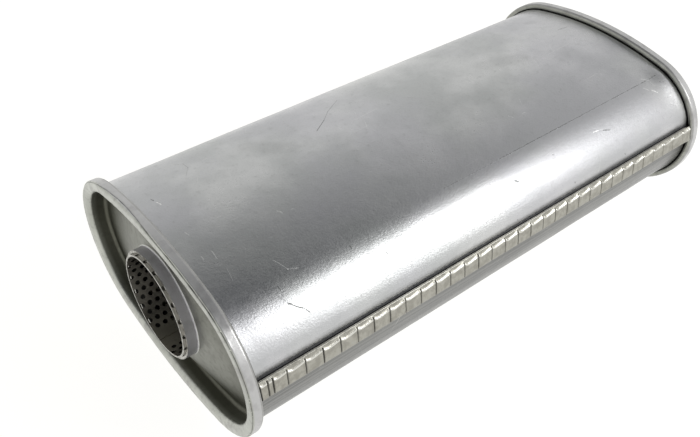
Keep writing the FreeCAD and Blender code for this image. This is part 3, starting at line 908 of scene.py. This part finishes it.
def perforated_tube(steel, punched, cut):
    """Tube of punched sheet: a cell round each hole, trimmed square at the mouths."""
    half_row = HOLE_STEP * TUBE_RADIUS / 2
    shape = bmesh.new()
    for place, angle, pitch, is_hole in punched_cells():
        corner = (half_row**2 - pitch**2) / (2 * half_row)
        tip = (half_row**2 + pitch**2) / (2 * half_row)
        outline = [
            (pitch, corner), (0, tip), (-pitch, corner), (-pitch, -corner), (0, -tip), (pitch, -corner),
        ]
        fine = MOUTH - abs(place) < ROUND_HOLE_DEPTH
        sides = 12 if fine else 6
        start = 0.5 if fine else 0
        rings = []
        for radius in (TUBE_RADIUS, INNER_RADIUS):
            def lay(along, across, radius=radius):
                turn = angle + across / TUBE_RADIUS
                return shape.verts.new((place + along, radius * math.cos(turn), radius * math.sin(turn)))
            hexagon = [lay(*point) for point in outline]
            if is_hole:
                hole = []
                for number in range(sides):
                    turn = 2 * math.pi * (number + start) / sides + math.pi / 6
                    across = HOLE_RADIUS * math.sin(turn) * TUBE_RADIUS / radius
                    hole.append(lay(HOLE_RADIUS * math.cos(turn), across))
            else:
                hole = [lay(0, 0)]
            rings.append((hexagon, hole))
        for (hexagon, hole), is_outside in zip(rings, (True, False)):
            for number in range(6):
                this, other = hexagon[number], hexagon[(number + 1) % 6]
                if not is_hole:
                    corners = [[this, other, hole[0]]]
                elif fine:
                    mine, between = hole[2 * number], hole[2 * number + 1]
                    nearest = hole[(2 * number - 1) % 12]
                    corners = [[this, nearest, mine], [this, mine, between, other]]
                else:
                    corners = [[this, hole[number], hole[(number + 1) % 6], other]]
                for face in corners:
                    shape.faces.new(face if is_outside else face[::-1])
        if is_hole:
            outer, inner = rings[0][1], rings[1][1]
            for number in range(sides):
                other = (number + 1) % sides
                wall = shape.faces.new([outer[number], inner[number], inner[other], outer[other]])
                wall.material_index = 1
    bmesh.ops.remove_doubles(shape, verts=shape.verts, dist=0.02)
    for end in (-1, 1):
        bmesh.ops.bisect_plane(
            shape, geom=shape.verts[:] + shape.edges[:] + shape.faces[:], dist=0.001,
            plane_co=(end * MOUTH, 0, 0), plane_no=(end, 0, 0), clear_outer=True,
        )
        rim = [
            edge for edge in shape.edges
            if edge.is_boundary and abs(edge.verts[0].co.x - end * MOUTH) < 0.01
        ]
        mouth = bmesh.ops.bridge_loops(shape, edges=rim)
        for face in mouth["faces"]:
            face.material_index = 2
    sink_joint(shape)
    bmesh.ops.recalc_face_normals(shape, faces=shape.faces)
    bmesh.ops.scale(shape, vec=(MM, MM, MM), verts=shape.verts)
    mesh = bpy.data.meshes.new("punched_tube")
    shape.to_mesh(mesh)
    shape.free()
    for material in (steel, punched, cut):
        mesh.materials.append(material)
    smooth(mesh, 34.0)
    piece = bpy.data.objects.new("punched_tube", mesh)
    bpy.context.collection.objects.link(piece)
    return piece


def sink_joint(shape):
    """Sinks the butt joint of the tube's sheet into its inside, along the plain strip."""
    turn = math.radians(PLAIN_STRIP_ANGLE)
    across = Vector((0, -math.sin(turn), math.cos(turn)))
    outward = Vector((0, math.cos(turn), math.sin(turn)))

    def on_inside(face):
        middle = face.calc_center_median()
        by_strip = middle.dot(outward) > INNER_RADIUS * 0.9 and abs(middle.dot(across)) < 6
        inside = math.hypot(middle.y, middle.z) < TUBE_RADIUS - TUBE_WALL / 2
        return by_strip and inside and abs(face.normal.x) < 0.5

    shape.normal_update()
    for side in (-1, 1):
        faces = [face for face in shape.faces if on_inside(face)]
        edges = list(dict.fromkeys(edge for face in faces for edge in face.edges))
        verts = list(dict.fromkeys(vert for face in faces for vert in face.verts))
        bmesh.ops.bisect_plane(
            shape, geom=verts + edges + faces, dist=0.001,
            plane_co=across * (side * TUBE_JOINT_WIDTH / 2), plane_no=across * side,
        )
    floor = [face for face in shape.faces
             if on_inside(face) and abs(face.calc_center_median().dot(across)) < TUBE_JOINT_WIDTH / 2]
    sunk = bmesh.ops.extrude_face_region(shape, geom=floor)
    for item in sunk["geom"]:
        if isinstance(item, bmesh.types.BMVert):
            item.co += outward * TUBE_JOINT_DEPTH
    bmesh.ops.delete(shape, geom=floor, context="FACES")
    order_faces(shape)


def order_faces(shape):
    """Orders faces by their middles. An extrusion leaves its new faces in another order in each run."""
    ordered = sorted(shape.faces, key=lambda face: tuple(face.calc_center_median()))
    for index, face in enumerate(ordered):
        face.index = index
    shape.faces.sort()


# Stuffing

def wound_piece(name, inside, outside, half_length, lump, material):
    """Closed sleeve of matted fibre; inside and outside give its surfaces for angles round the tube."""
    turns = np.linspace(0, 2 * math.pi, 180, endpoint=False)
    places = np.linspace(-half_length, half_length, 90)
    rows = []
    for surface, order, sign in ((outside, places, -1), (inside, places[::-1], 1)):
        y, z = surface(turns)
        for place in order:
            ring = np.stack([np.full(len(turns), place), y, z], -1)
            inset = sign * lump * (1 + rough(ring, 4.0, 5)) / 2
            length = np.hypot(y, z)
            ring[:, 1] += inset * y / length
            ring[:, 2] += inset * z / length
            rows.append(ring)
    points = np.array(rows)
    return add_piece(
        name, points.reshape(-1, 3), grid_faces(len(rows), len(turns)), [material], sharp_angle=60.0,
    )


def round_surface(radius):
    """Surface of a round tube."""
    return lambda turns: (radius * np.cos(turns), radius * np.sin(turns))


def oval_surface(offset):
    """Surface of the oval, read at even runs round it."""
    def read(turns):
        runs = turns / (2 * math.pi) * AROUND
        y, z = on_oval(runs, offset)
        order = np.argsort(np.arctan2(z, y) % (2 * math.pi))
        return y[order], z[order]
    return read


def wool_sleeve(material):
    """Steel wool wound round the tube."""
    inside = round_surface(TUBE_RADIUS + PACKING_GAP)
    outside = round_surface(TUBE_RADIUS + PACKING_GAP + WOOL_THICKNESS)
    return wound_piece("wool_winding", inside, outside, STUFFING_HALF, 0.5, material)


def packing(material):
    """Fibre that fills the shell round the wool."""
    inside = round_surface(TUBE_RADIUS + WOOL_THICKNESS + 2 * PACKING_GAP)
    outside = oval_surface(-(SHELL_SHEET + PACKING_INSET))
    return wound_piece("fibre_packing", inside, outside, STUFFING_HALF, 0.8, material)


# Studio

def floor_piece(height):
    """Pale floor that the camera and the metal see as nearly white, with the object's soft shadow."""
    bpy.ops.mesh.primitive_plane_add(size=6.0, location=(0, 0, height))
    floor = bpy.context.object
    floor.name = "floor"
    finish = Finish("pale_floor", Base_Color=(0.85, 0.85, 0.84), Roughness=0.9)
    seen = 0.0
    for kind in ("Is Camera Ray", "Is Glossy Ray", "Is Transmission Ray"):
        seen = finish.node("ShaderNodeLightPath", {}, {}, kind) * FLOOR_GLOW + seen
    glow = finish.node("ShaderNodeEmission", {}, {"Color": (1.0, 0.995, 0.975), "Strength": 1.17})
    plain = Signal(finish, finish.shader.outputs[0])
    mixed = finish.node("ShaderNodeMixShader", {}, {0: seen, 1: plain, 2: glow})
    finish.feed(finish.tree.nodes["Material Output"].inputs["Surface"], mixed)
    floor.data.materials.append(finish.material)
    return floor


def studio_world():
    """Plain studio: pale low down and dark overhead."""
    world = bpy.data.worlds.new("studio")
    bpy.context.scene.world = world
    world.use_nodes = True
    nodes = Nodes(world.node_tree)
    way = nodes.node("ShaderNodeTexCoord", {}, {}, "Generated")
    climb = nodes.node("ShaderNodeSeparateXYZ", {}, {0: way}, "Z")
    colour = nodes.blend((0.84, 0.84, 0.83), (0.07, 0.075, 0.08), nodes.rise(climb, 0.50, 0.98))
    background = world.node_tree.nodes["Background"]
    nodes.feed(background.inputs["Color"], colour)
    background.inputs["Strength"].default_value = 1.05


def softbox(name, way, distance, size, energy):
    """White oblong lamp in a direction from the object's middle, facing it."""
    lamp = bpy.data.lights.new(name, "AREA")
    lamp.shape = "RECTANGLE"
    lamp.size, lamp.size_y = size
    lamp.energy = energy
    holder = bpy.data.objects.new(name, lamp)
    bpy.context.collection.objects.link(holder)
    way = Vector(way).normalized()
    holder.location = way * distance
    holder.rotation_euler = way.to_track_quat("Z", "Y").to_euler()


def add_camera():
    """Camera at the photograph's angle."""
    turn, climb, roll = (math.radians(angle) for angle in (CAMERA_AZIMUTH, CAMERA_ELEVATION, CAMERA_ROLL))
    back = Vector((math.sin(turn) * math.cos(climb), -math.cos(turn) * math.cos(climb), math.sin(climb)))
    level = Vector((math.cos(turn), math.sin(turn), 0))
    up = back.cross(level)
    right = level * math.cos(roll) + up * math.sin(roll)
    up = back.cross(right)
    lens = bpy.data.cameras.new("camera")
    lens.lens = CAMERA_LENS
    lens.sensor_width = 36.0
    lens.clip_start = 0.01
    camera = bpy.data.objects.new("camera", lens)
    bpy.context.collection.objects.link(camera)
    place = (Vector(CAMERA_AIM) + back * CAMERA_DISTANCE) * MM
    turned = Matrix((right, up, back)).transposed().to_4x4()
    camera.matrix_world = Matrix.Translation(place) @ turned
    bpy.context.scene.camera = camera


def main():
    """Dresses the frame's nodes and lights the scene."""
    steel, cap_metal = shell_steel(), cap_steel()
    cut = edge_steel("cut_steel", (0.22, 0.215, 0.19), (0.62, 0.61, 0.57))
    # The holes' walls are painted near black: painted shade inside the holes.
    punched = edge_steel("punched_steel", (0.05, 0.048, 0.04), (0.13, 0.125, 0.11))
    shell = outer_shell(steel)
    inlet_cap = end_cap("rolled_inlet_cap", -1, 3, cap_metal, cut, drift=NEAR_GROOVE_DRIFT)
    outlet_cap = end_cap("rolled_outlet_cap", 1, 11, cap_metal, cut, dents=FAR_RIM_DENTS)
    pieces = (
        (shell, "outer_shell", "shell_steel"),
        (inlet_cap, "inlet_end_cap", "cap_steel"),
        (outlet_cap, "outlet_end_cap", "cap_steel"),
        (perforated_tube(tube_steel(), punched, cut), "perforated_tube", "tube_steel"),
        (wool_sleeve(wool_steel()), "wool_sleeve", "steel_wool"),
        (packing(packing_fibre()), "packing", "packing_fibre"),
    )
    for piece, node, slot in pieces:
        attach(piece, "root")
        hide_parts(node)
    floor_piece(cad_box[0][2])
    studio_world()
    softbox("key", (0.41, -0.695, 0.585), 0.9, (0.40, 0.52), 3.5)
    add_camera()
    bpy.context.scene.view_settings.view_transform = "Standard"


main()
